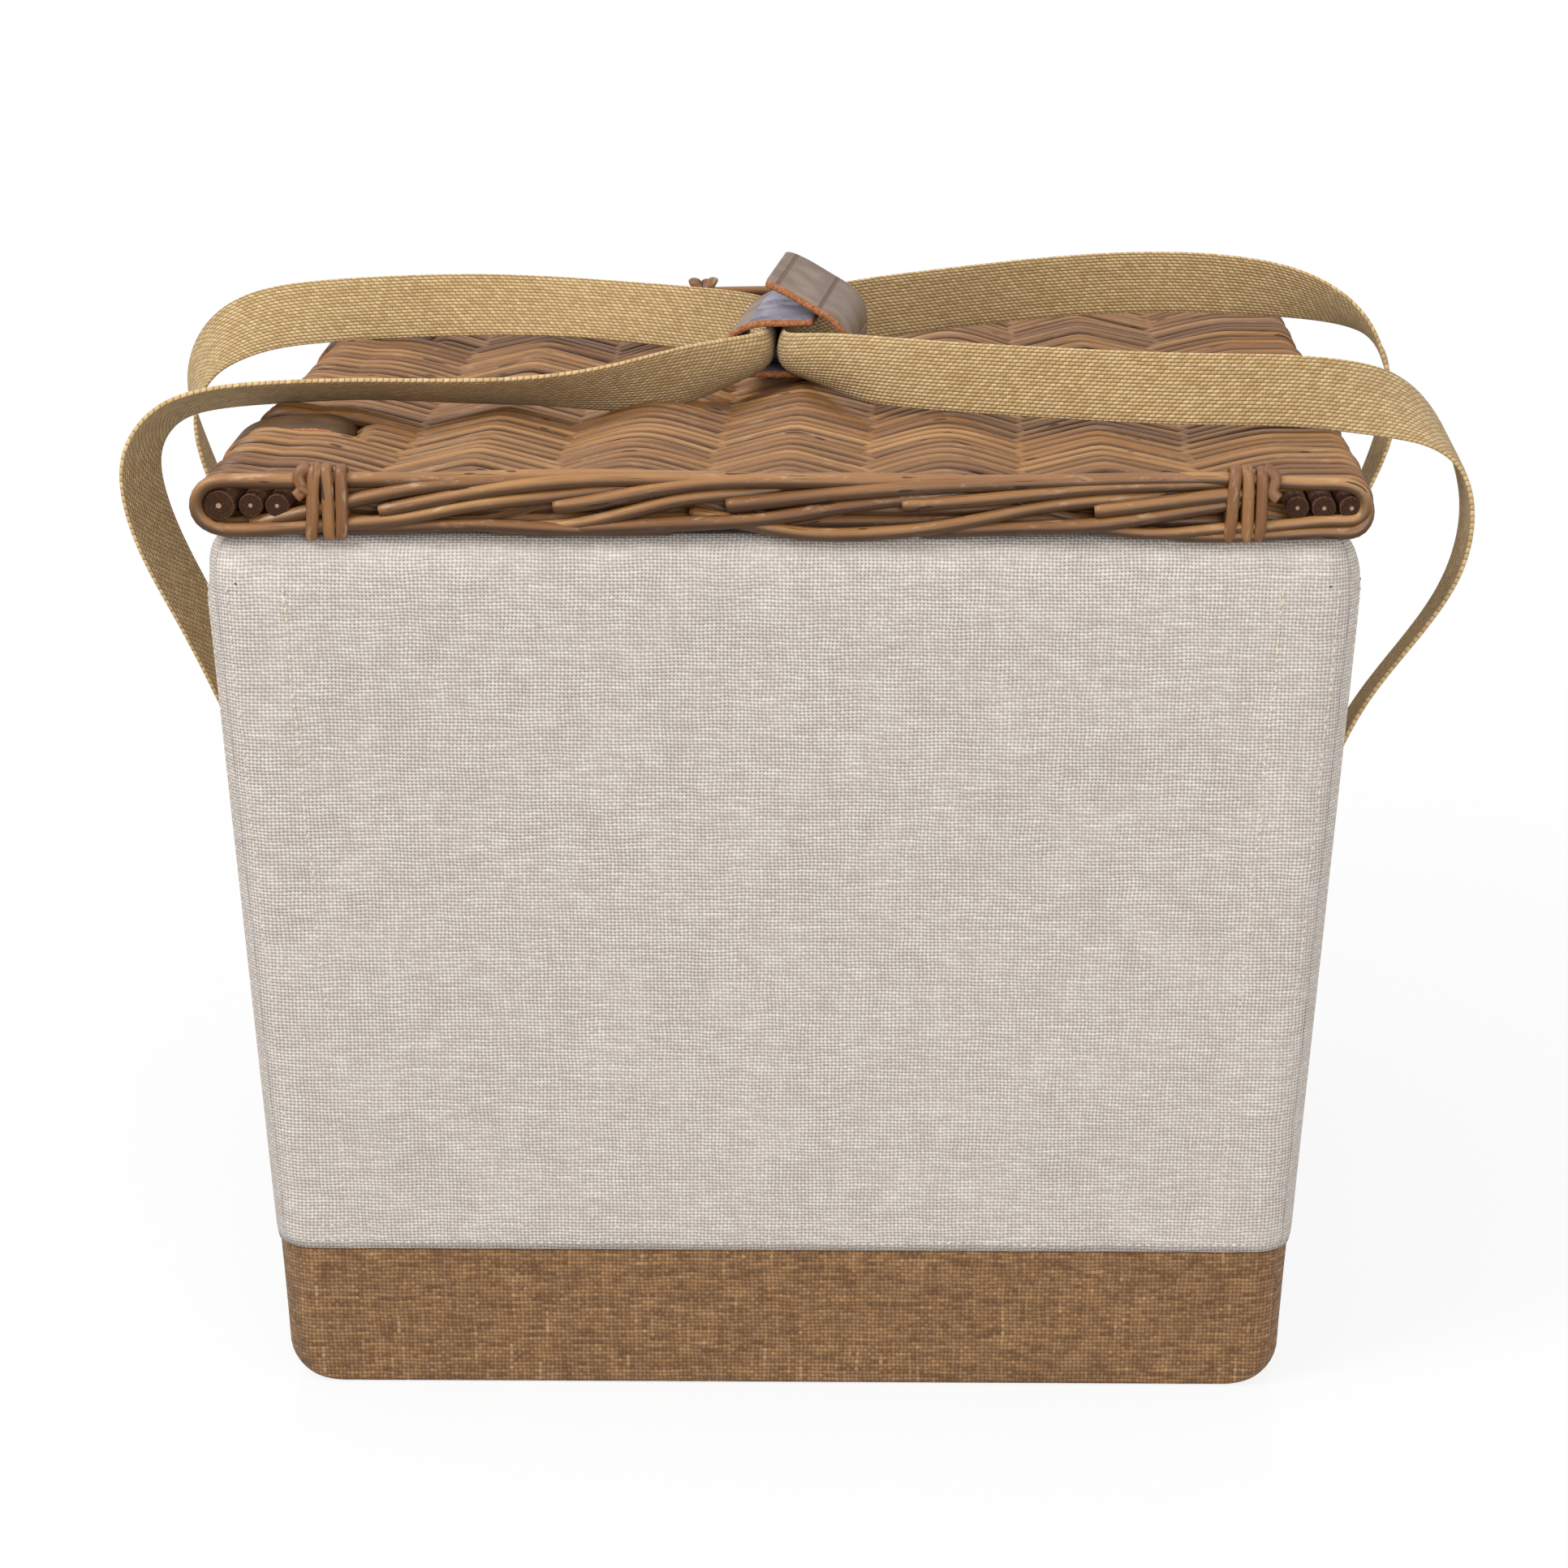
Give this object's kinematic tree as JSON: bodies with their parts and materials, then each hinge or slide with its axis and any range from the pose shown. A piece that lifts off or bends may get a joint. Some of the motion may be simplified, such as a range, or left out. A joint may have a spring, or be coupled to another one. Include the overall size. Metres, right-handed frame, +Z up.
{
  "type": "lidded carry basket",
  "caption": "Tapered canvas box basket with a hinged woven willow lid, webbing carry handles and a leather handle wrap.",
  "frame": {"origin": "on the floor below the middle of the basket", "axes": "+Z up, +X to the right seen from the short front end, +Y from the front end to the rear end"},
  "size_m": [0.5516, 0.4598, 0.4197],
  "materials": {
    "natural_canvas": "open plain-woven linen-look canvas, matt",
    "brown_canvas": "close woven brown canvas, matt",
    "fibre_board": "pressed fibre board, matt",
    "lining_cloth": "plain cotton lining, matt",
    "steel_wire": "plain spring wire",
    "hinge_leather": "olive brown leather with raw orange edges",
    "wrap_leather": "grey brown coated leather with raw orange edges",
    "cotton_webbing": "khaki cotton webbing, coarse weave",
    "willow_stick": "peeled willow stick, dark cut ends with pale pith",
    "willow_binding": "split willow, satin",
    "willow_rod": "buff willow, satin"
  },
  "bodies": {
    "basket": {"front_canvas_panel": "natural_canvas", "front_foot_band": "brown_canvas", "front_board": "fibre_board", "right_canvas_panel": "natural_canvas", "right_foot_band": "brown_canvas", "right_board": "fibre_board", "rear_canvas_panel": "natural_canvas", "rear_foot_band": "brown_canvas", "rear_board": "fibre_board", "left_canvas_panel": "natural_canvas", "left_foot_band": "brown_canvas", "left_board": "fibre_board", "canvas_bottom": "brown_canvas", "base_board": "fibre_board", "lining": "lining_cloth", "rim_wire": "steel_wire", "left_front_strap_tail": "cotton_webbing", "left_rear_strap_tail": "cotton_webbing", "right_front_strap_tail": "cotton_webbing", "right_rear_strap_tail": "cotton_webbing", "front_tab_tail": "hinge_leather", "rear_tab_tail": "hinge_leather"},
    "lid": {"left_outer_stick": "willow_stick", "left_middle_stick": "willow_stick", "left_inner_stick": "willow_stick", "right_inner_stick": "willow_stick", "right_middle_stick": "willow_stick", "right_outer_stick": "willow_stick", "lid_stick_1": "willow_stick", "lid_stick_2": "willow_stick", "lid_stick_3": "willow_stick", "lid_stick_4": "willow_stick", "lid_stick_5": "willow_stick", "front_left_binding": "willow_binding", "front_right_binding": "willow_binding", "rear_left_binding": "willow_binding", "rear_right_binding": "willow_binding", "rear_crossed_tie": "willow_binding", "front_hinge_tab": "hinge_leather", "rear_hinge_tab": "hinge_leather", "willow_weave": "willow_rod", "front_border": "willow_rod", "rear_border": "willow_rod"},
    "left_handle": {"left_webbing": "cotton_webbing", "handle_wrap": "wrap_leather"},
    "right_handle": {"right_webbing": "cotton_webbing"},
    "flap": {"wrap_flap": "wrap_leather"}
  },
  "joints": [
    {"name": "lid_hinge", "type": "hinge", "parent": "basket", "child": "lid", "pos_m": [-0.2172, 0, 0.3506], "axis": [0, -1, 0], "range_deg": [0, 100], "deforming": ["front_hinge_tab", "rear_hinge_tab", "left_webbing", "right_webbing"]},
    {"name": "left_handle_swing", "type": "hinge", "parent": "basket", "child": "left_handle", "pos_m": [-0.2085, 0, 0.1965], "axis": [0, -1, 0], "range_deg": [0, 150], "deforming": ["left_webbing"]},
    {"name": "right_handle_swing", "type": "hinge", "parent": "basket", "child": "right_handle", "pos_m": [0.2085, 0, 0.1965], "axis": [0, 1, 0], "range_deg": [0, 150], "deforming": ["right_webbing"]},
    {"name": "flap_bend", "type": "hinge", "parent": "left_handle", "child": "flap", "pos_m": [0.0225, 0.008, 0.392], "axis": [0, 1, 0], "range_deg": [0, 110]}
  ],
  "couplings": [
    {"joint": "left_handle_swing", "follows": "lid_hinge", "ratio": 1.5},
    {"joint": "right_handle_swing", "follows": "lid_hinge", "ratio": 1.5}
  ]
}
